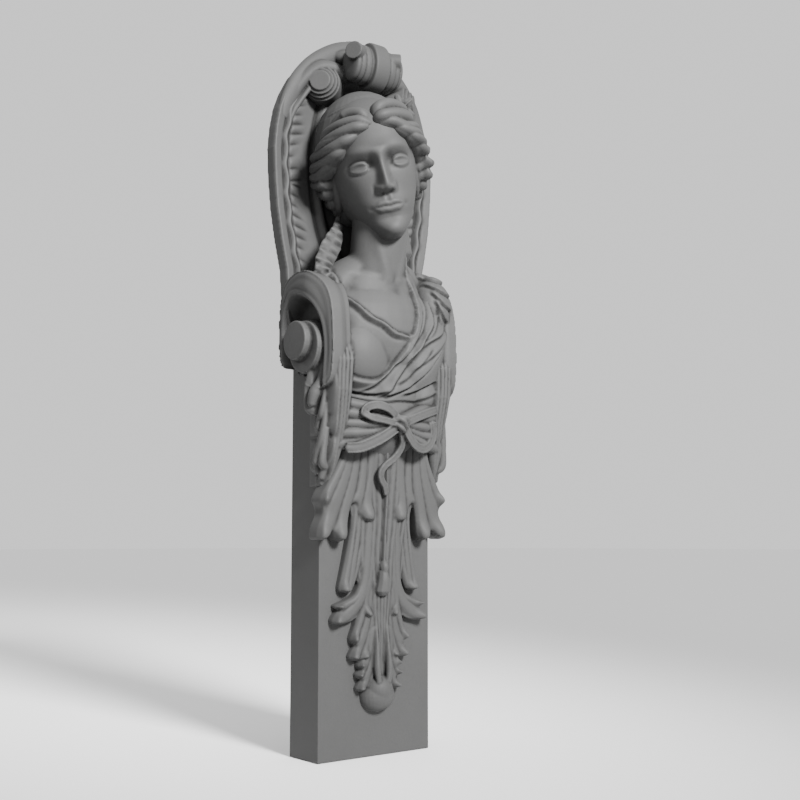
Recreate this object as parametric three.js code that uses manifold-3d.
// A carved herm pilaster: a draped female half-figure that ends below the waist in hanging
// acanthus leaves, carved in high relief on a plain square block, with an arched shell plate
// behind the head. Block, figure and plate are one piece of stone.
// Millimetres. X runs to the right seen from the front, Y into the wall, Z up.
import * as THREE from "three";
import { mergeVertices } from "three/addons/utils/BufferGeometryUtils.js";
import Module from "manifold-3d";

const wasm = await Module();
wasm.setup();

// Driving dimensions
const carvingHeight = 1000; // foot of the block to the crown of the arched plate
const blockWidth = 184;
const blockDepth = 66;
const blockHeight = 575; // the block stops behind the neck
const plateThickness = 14;
const rimHeight = 5; // how far the plate's edge moulding stands off the plate

// The carving is drawn in thousandths of its own height.
const unit = carvingHeight / 1000;
const crownHeight = 1000; // the crown of the plate, in those thousandths
const headHeight = 200; // chin to crown, in those thousandths
const sides = [-1, 1];

// A point of the carving: across, forward of the block's front face, and up from the foot.
function at(x, forward, z) {
  return new THREE.Vector3(x * unit, -blockDepth - forward * unit, z * unit);
}

// A point of the arched plate: across, forward of the wall, and up from the foot.
function onPlate(x, forward, z) {
  return new THREE.Vector3(x * unit, -plateThickness - forward * unit, z * unit);
}

function solidOf(geometry, matrix) {
  const bare = geometry.index ? geometry.toNonIndexed() : geometry.clone();
  const merged = mergeVertices(
    new THREE.BufferGeometry().setAttribute("position", bare.getAttribute("position")),
    1e-3,
  );
  if (matrix) merged.applyMatrix4(matrix);
  const positions = merged.getAttribute("position").array;
  const corners = new Uint32Array(merged.index.array);
  const solid = new wasm.Manifold(
    new wasm.Mesh({ numProp: 3, vertProperties: positions, triVerts: corners }),
  );
  if (solid.volume() > 0) return solid;
  for (let i = 0; i < corners.length; i += 3)
    [corners[i], corners[i + 1]] = [corners[i + 1], corners[i]];
  return new wasm.Manifold(
    new wasm.Mesh({ numProp: 3, vertProperties: positions, triVerts: corners }),
  );
}

function joined(solids) {
  return solids.reduce((whole, next) => whole.add(next));
}

// An egg-shaped form, given by its centre and its half sizes across, in depth and in height.
function egg(centre, half, [around, rings] = [12, 8]) {
  const place = new THREE.Matrix4().makeTranslation(centre);
  const size = new THREE.Matrix4().makeScale(half[0] * unit, half[1] * unit, half[2] * unit);
  const upright = new THREE.Matrix4().makeRotationX(Math.PI / 2);
  const ball = new THREE.SphereGeometry(1, around, rings).applyMatrix4(upright);
  return solidOf(ball, place.multiply(size));
}

// A limb: rings drawn round a smooth line, each with a half width and a rise towards the
// viewer. Folds, locks, lobes, ribbons and mouldings are all limbs.
function limb(points, widths, rises, { steps = 6, corners = 5, sink = 0.6, face } = {}) {
  const line = new THREE.CatmullRomCurve3(points);
  const along = (list, t) => {
    const place = t * (list.length - 1);
    const low = Math.min(Math.floor(place), list.length - 2);
    return THREE.MathUtils.lerp(list[low], list[low + 1], place - low) * unit;
  };
  const vertices = [];
  const facing = face ?? (() => new THREE.Vector3(0, -1, 0));
  for (let i = 0; i <= steps; i++) {
    const t = i / steps;
    const centre = line.getPoint(t);
    const run = line.getTangent(t);
    const across = new THREE.Vector3().crossVectors(run, facing(centre, t)).normalize();
    const out = new THREE.Vector3().crossVectors(across, run).normalize();
    for (let k = 0; k < corners; k++) {
      const turn = Math.PI / 2 + (2 * Math.PI * k) / corners;
      const lift = Math.sin(turn) * along(rises, t) * (Math.sin(turn) < 0 ? sink : 1);
      vertices.push(
        centre
          .clone()
          .addScaledVector(across, Math.cos(turn) * along(widths, t))
          .addScaledVector(out, lift),
      );
    }
  }
  const triangles = [];
  for (let i = 0; i < steps; i++)
    for (let k = 0; k < corners; k++) {
      const a = i * corners + k;
      const b = i * corners + ((k + 1) % corners);
      triangles.push(a, b, a + corners, b, b + corners, a + corners);
    }
  const last = steps * corners;
  for (let k = 1; k < corners - 1; k++) {
    triangles.push(0, k + 1, k);
    triangles.push(last, last + k, last + k + 1);
  }
  const skin = new THREE.BufferGeometry().setFromPoints(vertices);
  skin.setIndex(triangles);
  return solidOf(skin);
}

// A leaf's lobe: it leaves its root narrow, swells, bows sideways and ends in a round tip
// that curls forward.
function lobe(root, tip, width, { bow = 0, curl = 4, rise = 7, steps = 3 } = {}) {
  const middle = root.clone().lerp(tip, 0.55);
  middle.x += bow * unit;
  const swell = root.clone().lerp(tip, 0.85);
  swell.x += bow * 0.5 * unit;
  swell.y -= curl * unit;
  return limb(
    [root, middle, swell, tip],
    [width * 0.45, width * 0.8, width, width * 0.35],
    [rise * 0.7, rise, rise, rise * 0.4],
    { steps, corners: 4, sink: 1.2 },
  );
}

// A prism from an outline drawn in the wall's plane, from one depth to another.
function slab(outline, fromY, toY) {
  const shape = new THREE.Shape(outline);
  const prism = new THREE.ExtrudeGeometry(shape, { depth: toY - fromY, bevelEnabled: false });
  const upright = new THREE.Matrix4().makeRotationX(Math.PI / 2);
  upright.setPosition(0, toY, 0);
  return solidOf(prism, upright);
}

// The arched plate: half its width at each height. It swells from the shoulders to the
// middle of the shell and closes in a pointed round at the crown.
const plateFoot = 530;
const plateProfile = [
  [530, 104],
  [590, 114],
  [650, 116],
  [732, 132],
  [815, 138],
  [873, 130],
  [921, 108],
  [948, 85],
  [969, 60],
  [984, 36],
  [crownHeight, 0],
];

function plateHalfWidth(z) {
  const next = plateProfile.findIndex(([height]) => height >= z);
  if (next < 1) return plateProfile.at(next)[1];
  const [z0, w0] = plateProfile[next - 1];
  const [z1, w1] = plateProfile[next];
  return THREE.MathUtils.mapLinear(z, z0, z1, w0, w1);
}

// The plate's profile on one side, drawn in from its edge, from one height up to another.
function plateLine(side, inset, forward, fromZ, toZ, wave = 0) {
  const places = plateProfile.filter(([z]) => z > fromZ && z < toZ).map(([z]) => z);
  return [fromZ, ...places, toZ].map((z, i) => {
    const slope = plateHalfWidth(z - 4) - plateHalfWidth(Math.min(z + 4, crownHeight - 1));
    const lean = Math.atan2(slope, 8);
    const ripple = inset + wave * (i % 2);
    const x = Math.max(0, plateHalfWidth(z) - ripple * Math.cos(lean));
    return onPlate(side * x, forward, z - ripple * Math.sin(lean));
  });
}

function plate() {
  const outline = [];
  for (const side of sides) {
    const line = plateLine(side, 0, 0, plateFoot, crownHeight);
    const edge = line.map((p) => new THREE.Vector2(p.x, p.z));
    outline.push(...(side > 0 ? edge : edge.reverse().slice(1)));
  }
  return slab(outline, -plateThickness, 0);
}

// The edge moulding, the rippled inner edge of the shell and the shell's flutes.
function shell() {
  const parts = [];
  for (const side of sides) {
    const rim = plateLine(side, 7, 0, plateFoot + 6, crownHeight - 22);
    parts.push(limb(rim, [7, 7], [rimHeight, rimHeight], { steps: 14, corners: 4, sink: 1 }));
    const ripple = plateLine(side, 19, 1, 610, 925, 2.5);
    parts.push(limb(ripple, [4.5, 4.5, 3], [6, 6, 4], { steps: 16, corners: 3, sink: 1 }));
    for (let i = 0; i < 7; i++) {
      const z = 655 + i * 33;
      const outer = onPlate(side * (plateHalfWidth(z) - 22), 1, z);
      const inner = onPlate(side * (plateHalfWidth(z) - 48), 0, z + 10 - i * 2.4);
      parts.push(limb([outer, inner], [5, 2], [4, 1], { steps: 1, corners: 3, sink: 1 }));
    }
  }
  return parts;
}

// The ring moulding round the head.
function ring() {
  const points = [];
  const count = 16;
  for (let i = 0; i <= count; i++) {
    const turn = Math.PI * (-0.36 + (1.72 * i) / count);
    points.push(onPlate(70 * Math.cos(turn), 3, 815 + 132 * Math.sin(turn)));
  }
  return limb(points, [6, 6], [8, 8], { steps: 18, corners: 4, sink: 1 });
}

// A scroll at each shoulder of the arch: a boss with stepped rings, and the band that runs
// up the plate's edge into it.
const scrollTurn = THREE.MathUtils.degToRad(45);
function archScroll(side) {
  const parts = [];
  const turned = new THREE.Matrix4().makeRotationZ(side * scrollTurn);
  const outwards = new THREE.Vector3(side * Math.sin(scrollTurn), -Math.cos(scrollTurn), 0);
  const heart = onPlate(side * 70, 6, 912);
  for (const [radius, reach] of [[31, 14], [25, 22], [17, 29]]) {
    const disc = new THREE.CylinderGeometry(radius * unit, radius * unit, 2 * reach * unit, 12);
    parts.push(solidOf(disc, turned.clone().setPosition(heart)));
  }
  const band = [
    onPlate(side * 130, 0, 850),
    onPlate(side * 121, 8, 890),
    onPlate(side * 102, 16, 926),
    heart.clone().addScaledVector(outwards, 24 * unit).add(new THREE.Vector3(0, 0, 26 * unit)),
  ];
  parts.push(limb(band, [6, 9, 11, 9], [6, 9, 12, 12], { steps: 5, sink: 2 }));
  return parts;
}

// The roll at the crown: a barrel lying across, with stepped ends, joined to the plate by a
// hollow-curved web.
function crownRoll() {
  const profile = [
    [0, -37], [21, -37], [22, -32], [27, -29], [27, -24], [33, -20], [33, 20], [27, 24],
    [27, 29], [22, 32], [21, 37], [0, 37],
  ].map(([r, x]) => new THREE.Vector2(r * unit, x * unit));
  const barrel = new THREE.LatheGeometry(profile, 12);
  const lying = new THREE.Matrix4().makeRotationZ(Math.PI / 2);
  lying.setPosition(at(0, 0, 944));
  const parts = [solidOf(barrel, lying)];
  const ends = new THREE.CylinderGeometry(14 * unit, 14 * unit, 92 * unit, 10);
  lying.setPosition(at(0, 2, 954));
  parts.push(solidOf(ends, lying));
  const web = [onPlate(0, -6, 968), onPlate(0, 24, 946), at(0, -14, 936)];
  parts.push(limb(web, [46, 44, 36], [20, 20, 20], { steps: 3, corners: 8, sink: 1, face: upward }));
  return parts;
}

const upward = () => new THREE.Vector3(0, 0, 1);

// The trunk, as eggs; folds are laid on its front.
const trunk = [
  { centre: [0, -20, 565], half: [97, 76, 86] },
  { centre: [0, -26, 505], half: [84, 72, 80] },
  { centre: [0, -26, 440], half: [84, 62, 70] },
  { centre: [-42, 18, 532], half: [44, 38, 48] },
  { centre: [42, 18, 530], half: [44, 38, 48] },
];

// How far forward the trunk stands at a place, with an extra rise.
function onTrunk(x, z, rise = 0) {
  let forward = 4;
  for (const { centre, half } of trunk) {
    const left = 1 - ((x - centre[0]) / half[0]) ** 2 - ((z - centre[2]) / half[2]) ** 2;
    if (left > 0) forward = Math.max(forward, centre[1] + half[1] * Math.sqrt(left));
  }
  return at(x, forward + rise, z);
}

function torso() {
  const parts = trunk.map(({ centre, half }) => egg(at(...centre), half, [12, 7]));
  const neck = [at(0, -14, 590), at(-2, 0, 640), at(-6, 14, 690), at(-8, 16, 735)];
  parts.push(limb(neck, [56, 42, 37, 40], [44, 40, 38, 40], { steps: 5, corners: 10, sink: 1 }));
  for (const side of sides) {
    const shoulder = [at(side * 8, -8, 662), at(side * 52, -10, 632), at(side * 96, -14, 610)];
    parts.push(
      limb(shoulder, [34, 34, 30], [24, 26, 24], { steps: 3, corners: 8, sink: 1, face: upward }),
    );
  }
  return parts;
}

// Folds of the dress, each a line of places on the trunk from the upper right.
const folds = [
  { line: [[44, 640], [32, 585], [16, 530], [-16, 488], [-58, 487], [-79, 530], [-80, 600]], wide: 7 },
  { line: [[62, 642], [48, 580], [28, 520], [-8, 470], [-52, 466], [-80, 500]], wide: 8 },
  { line: [[74, 636], [62, 580], [46, 525], [16, 478], [-30, 456]], wide: 8 },
  { line: [[86, 500], [62, 478], [28, 462], [0, 452]], wide: 7 },
  { line: [[88, 620], [78, 560], [62, 520]], wide: 6 },
];

function dress() {
  const parts = folds.map(({ line, wide }) =>
    limb(line.map(([x, z]) => onTrunk(x, z, 2)), [wide, wide, wide * 0.6], [6, 7, 5], {
      steps: Math.round(line.length * 1.3),
      corners: 3,
      sink: 1.6,
    }),
  );
  const frill = [[-88, 640], [-66, 606], [-34, 580], [10, 560]].map(([x, z]) => onTrunk(x, z, 3));
  parts.push(limb(frill, [8, 6, 5, 4], [6, 5, 5, 4], { steps: 5, corners: 3, sink: 1.6 }));
  const collar = [[10, 560], [26, 598], [34, 640], [42, 668]].map(([x, z]) => onTrunk(x, z, 2));
  parts.push(limb(collar, [4, 7, 9, 9], [4, 5, 7, 9], { steps: 4, corners: 5, sink: 2 }));
  const ruffle = [at(-46, -14, 690), at(-64, -4, 664), at(-86, 0, 646)];
  parts.push(limb(ruffle, [6, 12, 12], [8, 9, 9], { steps: 3, corners: 5, sink: 1.5 }));
  for (let i = 0; i < 3; i++) {
    const tuck = [at(74, 40 - i * 4, 634 - i * 22), at(106, 22, 634 - i * 24)];
    parts.push(limb(tuck, [9, 10], [9, 8], { steps: 1, corners: 5, sink: 2.4 }));
  }
  return parts;
}

// The scroll that stands for each arm: a band that rises from the side leaf, rolls back over
// the shoulder to the wall and winds in to a round boss.
const scrollOutline = [
  [-60, 524], [-62, 590], [-50, 626], [-23, 640], [10, 638], [40, 620],
  [56, 590], [61, 545], [55, 500], [38, 470], [4, 486], [-30, 502],
];
const hollowOutline = [
  [-50, 520], [-52, 576], [-42, 602], [-23, 611], [14, 597], [34, 570], [40, 538], [37, 508],
  [20, 490], [-30, 470],
];
const scrollInner = 80;
const scrollOuter = 124; // at the wall; the band narrows as it comes forward
const taperFrom = 5;
const taperRun = 55;
const hollowFloor = 97;
const scrollEye = [-9, 538];

// A prism across the figure, from an outline given forward and up.
function crosswise(side, outline, inner, outer, soft) {
  const shape = new THREE.Shape(
    outline.map(([forward, z]) => new THREE.Vector2(-blockDepth - forward * unit, z * unit)),
  );
  const rounding = { bevelThickness: soft * unit, bevelSize: soft * unit, bevelOffset: -soft * unit };
  const prism = new THREE.ExtrudeGeometry(shape, {
    depth: (outer - inner - (soft ? 2 * soft : 0)) * unit,
    bevelEnabled: soft > 0,
    bevelSegments: 1,
    ...rounding,
  });
  prism.translate(0, 0, soft * unit);
  const place = prism.getAttribute("position");
  for (let i = 0; i < place.count; i++) {
    const forward = -place.getX(i) / unit - blockDepth / unit;
    const shrink = 1 - 0.5 * THREE.MathUtils.clamp((forward - taperFrom) / taperRun, 0, 1);
    place.setZ(i, inner * unit + place.getZ(i) * (soft ? shrink : 1));
  }
  const standing = new THREE.Matrix4().makeBasis(
    new THREE.Vector3(0, 1, 0),
    new THREE.Vector3(0, 0, 1),
    new THREE.Vector3(side, 0, 0),
  );
  return solidOf(prism, standing);
}

function shoulderScroll(side) {
  const scroll = crosswise(side, scrollOutline, scrollInner, scrollOuter, 7);
  const hollow = crosswise(side, hollowOutline, hollowFloor, scrollOuter + 10, 0);
  const parts = [scroll.subtract(hollow)];
  const across = new THREE.Matrix4().makeRotationZ(Math.PI / 2);
  for (const [radius, outer] of [[36, 108], [32, 123]]) {
    const length = outer - scrollInner;
    const drum = new THREE.CylinderGeometry(radius * unit, radius * unit, length * unit, 14);
    const middle = at(side * (scrollInner + length / 2), ...scrollEye);
    parts.push(solidOf(drum, across.clone().setPosition(middle)));
  }
  return parts;
}

// The leaf that hangs from each scroll down the side of the body.
function sideLeaf(side) {
  const strap = [[90, 46, 530], [88, 44, 480], [86, 30, 430], [86, 20, 378]];
  const spine = strap.map(([x, forward, z]) => at(side * x, forward, z));
  const parts = [limb(spine, [13, 16, 18, 9], [12, 11, 10, 6], { steps: 4, corners: 6, sink: 5 })];
  const blade = [at(side * 100, 6, 500), at(side * 100, 0, 440), at(side * 98, -4, 380)];
  parts.push(limb(blade, [9, 10, 8], [8, 8, 7], { steps: 2, corners: 4, sink: 3 }));
  const tips = [[106, 456, 12], [100, 425, 11], [101, 384, 13], [70, 402, 8]];
  for (const [x, z, width] of tips) {
    const root = at(side * (x > 90 ? 92 : 80), x > 90 ? 30 : 34, z + 62);
    parts.push(lobe(root, at(side * x, x > 90 ? 10 : 26, z), width, { rise: 9 }));
  }
  return parts;
}

// How far the hanging leaves stand forward of the block at a height.
function leafFront(z) {
  return THREE.MathUtils.mapLinear(z, 90, 410, 11, 29);
}

// The hanging leaves below the sash, each an outline on one side of the middle, and how far
// it stands out over the leaf behind it.
const leaves = [
  {
    over: -4,
    outline: [
      [14, 440], [16, 363], [20, 338], [16, 318], [22, 309], [36, 313], [43, 330], [52, 331],
      [58, 304], [65, 284], [78, 286], [84, 296], [96, 286], [105, 290], [103, 308], [97, 324],
      [103, 336], [95, 354], [76, 380], [60, 405], [70, 440],
    ],
  },
  { over: -3, outline: [[20, 330], [42, 215], [58, 214], [66, 221], [62, 240], [46, 330]] },
  {
    over: -1,
    outline: [
      [8, 300], [14, 230], [20, 198], [15, 185], [24, 181], [34, 189], [46, 178], [72, 174],
      [78, 179], [70, 194], [74, 200], [58, 207], [40, 218], [32, 240], [28, 300],
    ],
  },
  {
    over: -1,
    outline: [
      [8, 215], [14, 160], [14, 131], [34, 126], [48, 130], [41, 146], [45, 153], [48, 162],
      [38, 186], [28, 215],
    ],
  },
  {
    over: 0,
    outline: [
      [6, 150], [10, 96], [22, 84], [35, 87], [29, 100], [37, 107], [30, 116], [36, 122], [20, 150],
    ],
  },
];

function hangingLeaf(side, { over, outline }) {
  const soft = 4 * unit;
  const buried = 24 * unit;
  const shape = new THREE.Shape(outline.map(([x, z]) => new THREE.Vector2(x * unit, z * unit)));
  const leaf = new THREE.ExtrudeGeometry(shape, {
    depth: buried,
    bevelSegments: 1,
    bevelThickness: soft,
    bevelSize: soft * 0.8,
    bevelOffset: -soft * 0.8,
  });
  const place = leaf.getAttribute("position");
  for (let i = 0; i < place.count; i++) {
    const z = place.getY(i);
    const forward = (leafFront(z / unit) + over) * unit - buried - soft + place.getZ(i);
    place.setXYZ(i, side * place.getX(i), -blockDepth - forward, z);
  }
  return solidOf(leaf);
}

function hangingLeaves() {
  const tongue = [440, 340, 240, 150, 80].map((z) => at(0, leafFront(z) - 10, z));
  const parts = [
    limb(tongue, [70, 50, 34, 24, 16], [14, 13, 12, 11, 10], { steps: 5, corners: 8, sink: 2 }),
    egg(at(0, 2, 81), [27, 25, 25], [12, 7]),
  ];
  for (const side of sides) {
    for (const leaf of leaves) parts.push(hangingLeaf(side, leaf));
    for (const line of [
      [[46, 440], [60, 380], [80, 330], [92, 300]],
      [[30, 440], [40, 380], [58, 330], [70, 300]],
    ]) {
      const flute = line.map(([x, z]) => at(side * x, leafFront(z) - 2, z));
      parts.push(limb(flute, [4, 5, 6, 3], [5, 5, 6, 3], { steps: 3, corners: 3, sink: 2 }));
    }
  }
  for (const x of [-20, 20]) {
    const flute = [440, 330, 200, 110].map((z, i) => at(x * (1.3 - i * 0.28), leafFront(z) + 2, z));
    parts.push(limb(flute, [6, 5, 4, 2], [5, 5, 4, 2], { steps: 3, corners: 3, sink: 2 }));
  }
  return parts;
}

// The sash with its bow, the loose end of the ribbon, and the cord with its tassel.
function sash() {
  const parts = [];
  for (const side of sides)
    for (let i = 0; i < 3; i++) {
      const outer = at(side * 80, 28, 452 - i * 16);
      const inner = at(side * 6, 44, 440 - i * 5);
      const middle = outer.clone().lerp(inner, 0.5).add(new THREE.Vector3(0, -8 * unit, -3 * unit));
      parts.push(limb([outer, middle, inner], [9, 9, 6], [8, 8, 6], { steps: 3, corners: 4, sink: 2 }));
    }
  const loops = [
    [[-2, 50, 438], [-30, 54, 458], [-52, 50, 462], [-56, 46, 446], [-30, 50, 440]],
    [[-2, 50, 436], [-30, 52, 422], [-62, 46, 412], [-78, 40, 420]],
    [[4, 50, 440], [34, 50, 450], [68, 40, 456], [72, 38, 446], [36, 48, 438]],
    [[6, 50, 434], [28, 50, 412], [52, 44, 404], [68, 40, 424]],
  ];
  for (const loop of loops) {
    const ribbon = loop.map((p) => at(...p));
    parts.push(limb(ribbon, [5, 9, 9, 7], [4, 5, 5, 4], { steps: 5, corners: 4, sink: 1.4 }));
  }
  parts.push(egg(at(0, 48, 438), [13, 11, 12], [7, 5]));
  const places = [[4, 46, 428], [10, 40, 400], [-4, 38, 380], [-16, 36, 364], [-8, 33, 346]];
  const tail = places.map((p) => at(...p));
  parts.push(limb(tail, [6, 5, 5, 4, 3], [4, 4, 4, 4, 3], { steps: 6, corners: 3, sink: 2 }));
  const cord = [at(-2, 30, 352), at(-2, 24, 300), at(0, 20, 248)];
  parts.push(limb(cord, [2.6, 2.6], [4, 4], { steps: 2, corners: 4, sink: 2 }));
  const tassel = [at(0, 18, 252), at(0, 18, 240), at(0, 17, 216)];
  parts.push(limb(tassel, [5, 7, 10], [7, 8, 9], { steps: 3, corners: 6, sink: 1 }));
  return parts;
}

// The head, modelled facing forward about its own centre, then turned, bowed and tilted.
const headCentre = at(-14, 8, 792);
const headDrawn = 212; // the height the head's own places and sizes are drawn for
const headTurn = THREE.MathUtils.degToRad(30);
const headBow = THREE.MathUtils.degToRad(10);
const headTilt = THREE.MathUtils.degToRad(14);
const headPlace = new THREE.Matrix4()
  .makeRotationFromEuler(new THREE.Euler(headBow, -headTilt, -headTurn, "ZYX"))
  .scale(new THREE.Vector3().setScalar(headHeight / headDrawn))
  .setPosition(headCentre);

function headPoint(x, forward, z) {
  return new THREE.Vector3(x * unit, -forward * unit, z * unit).applyMatrix4(headPlace);
}

function headEgg(centre, half, detail) {
  const size = new THREE.Matrix4().makeScale(half[0] * unit, half[1] * unit, half[2] * unit);
  const place = new THREE.Matrix4().makeTranslation(centre[0] * unit, -centre[1] * unit, centre[2] * unit);
  const upright = new THREE.Matrix4().makeRotationX(Math.PI / 2);
  const ball = new THREE.SphereGeometry(1, ...detail).applyMatrix4(upright);
  return solidOf(ball, headPlace.clone().multiply(place).multiply(size));
}

// Half the head's height is the line of the eyes; the face is three equal parts from the
// hairline to the brow, the foot of the nose and the chin.
const faceThird = headDrawn * 0.27;
const eyeLine = 0;
const noseFoot = eyeLine - faceThird * 0.82;
const mouthLine = noseFoot - faceThird * 0.33;
const chinFoot = -headHeight / 2;

const headForward = () => {
  const ahead = new THREE.Vector3(0, -1, 0);
  return ahead.transformDirection(headPlace);
};

// Sections of the skull from the chin to the crown: height, centre, half width, half depth.
const skull = [
  [-108, 56, 16, 12],
  [-97, 46, 35, 30],
  [-72, 30, 53, 50],
  [-40, 13, 63, 70],
  [0, 0, 68, 84],
  [36, -8, 71, 90],
  [70, -10, 64, 78],
  [96, -12, 36, 46],
  [106, -12, 8, 10],
];

function head() {
  const middle = skull.map(([z, forward]) => headPoint(0, forward, z));
  const widths = skull.map((section) => section[2]);
  const depths = skull.map((section) => section[3]);
  const parts = [
    limb(middle, widths, depths, { steps: 12, corners: 12, sink: 1, face: headForward }),
  ];
  const nose = [
    headPoint(0, 82, eyeLine + 12),
    headPoint(0, 94, noseFoot + 26),
    headPoint(0, 102, noseFoot + 6),
    headPoint(0, 86, noseFoot),
  ];
  parts.push(limb(nose, [8, 8, 12, 9], [7, 9, 9, 5], { steps: 3, sink: 1.4, face: headForward }));
  for (const [z, width] of [[mouthLine + 4, 22], [mouthLine - 6, 19]]) {
    const lip = [headPoint(-width, 74, z), headPoint(0, 86, z), headPoint(width, 74, z)];
    parts.push(
      limb(lip, [1.5, 5, 1.5], [2, 5, 2], { steps: 4, corners: 4, sink: 1.5, face: headForward }),
    );
  }
  for (const side of sides) {
    const brow = [
      headPoint(side * 10, 86, eyeLine + 16),
      headPoint(side * 34, 80, eyeLine + 22),
      headPoint(side * 54, 58, eyeLine + 14),
    ];
    parts.push(limb(brow, [6, 6, 5], [5, 5, 4], { steps: 3, sink: 2, face: headForward }));
    parts.push(headEgg([side * 31, 64, eyeLine], [14, 14, 10], [8, 5]));
  }
  return parts;
}

// Hair parted in the middle, drawn back in thick waves over the ears to the nape; a smooth
// cap behind it, and a flower over the brow.
function hair() {
  const parts = [headEgg([0, -16, 34], [79, 92, 84], [14, 8])];
  const outwards = (place) => place.clone().sub(headCentre);
  const locks = [
    [[2, 84, 66], [28, 86, 70], [56, 58, 62], [72, 22, 50]],
    [[4, 92, 56], [34, 86, 52], [60, 60, 38], [75, 26, 22]],
    [[44, 80, 44], [64, 56, 22], [75, 30, 4]],
    [[60, 54, 24], [72, 40, 0], [76, 18, -18]],
    [[66, 42, 6], [70, 32, -24], [62, 12, -46]],
  ];
  for (const side of sides)
    for (const lock of locks) {
      const line = lock.map(([x, forward, z]) => headPoint(side * x, forward, z));
      const shape = { steps: 4, corners: 4, sink: 1, face: outwards };
      parts.push(limb(line, [6, 13, 14, 11], [7, 12, 13, 10], shape));
    }
  for (let i = 0; i < 3; i++) {
    const turn = (i * Math.PI) / 3;
    const tip = headPoint(58 + 22 * Math.cos(turn), 54, 82 + 24 * Math.sin(turn));
    const petal = [headPoint(58, 50, 82), tip];
    parts.push(limb(petal, [5, 9], [6, 6], { steps: 1, corners: 5, sink: 1.4, face: outwards }));
  }
  return parts;
}

const block = new THREE.BoxGeometry(blockWidth, blockDepth, blockHeight * unit);
const blockPlace = new THREE.Matrix4().makeTranslation(0, -blockDepth / 2, (blockHeight * unit) / 2);

const carving = joined([
  solidOf(block, blockPlace),
  plate(),
  ...shell(),
  ring(),
  ...sides.flatMap(archScroll),
  ...crownRoll(),
  ...torso(),
  ...dress(),
  ...sides.flatMap(shoulderScroll),
  ...sides.flatMap(sideLeaf),
  ...hangingLeaves(),
  ...sash(),
  ...head(),
  ...hair(),
]);

// The back is sawn flat to sit against the wall.
const room = 4 * carvingHeight;
const wall = solidOf(
  new THREE.BoxGeometry(room, room, room),
  new THREE.Matrix4().makeTranslation(0, room / 2, 0),
);
const largest = (most, next) => (next.volume() > most.volume() ? next : most);
const sawn = carving.subtract(wall).decompose().reduce(largest);

function geometryOf(solid) {
  const { numProp, vertProperties, triVerts } = solid.getMesh();
  const positions = [];
  for (let i = 0; i < vertProperties.length; i += numProp)
    positions.push(vertProperties[i], vertProperties[i + 1], vertProperties[i + 2]);
  const made = new THREE.BufferGeometry();
  made.setAttribute("position", new THREE.Float32BufferAttribute(positions, 3));
  made.setIndex([...triVerts]);
  return made;
}

const stone = new THREE.MeshStandardMaterial({ color: 0x8c8c8a, roughness: 0.75, metalness: 0 });
const herm = new THREE.Mesh(geometryOf(sawn), stone);
herm.name = "herm_pilaster";
herm.position.y = blockDepth / 2; // the origin is the middle of the block's underside

const pilaster = new THREE.Group();
pilaster.add(herm);

export default pilaster;
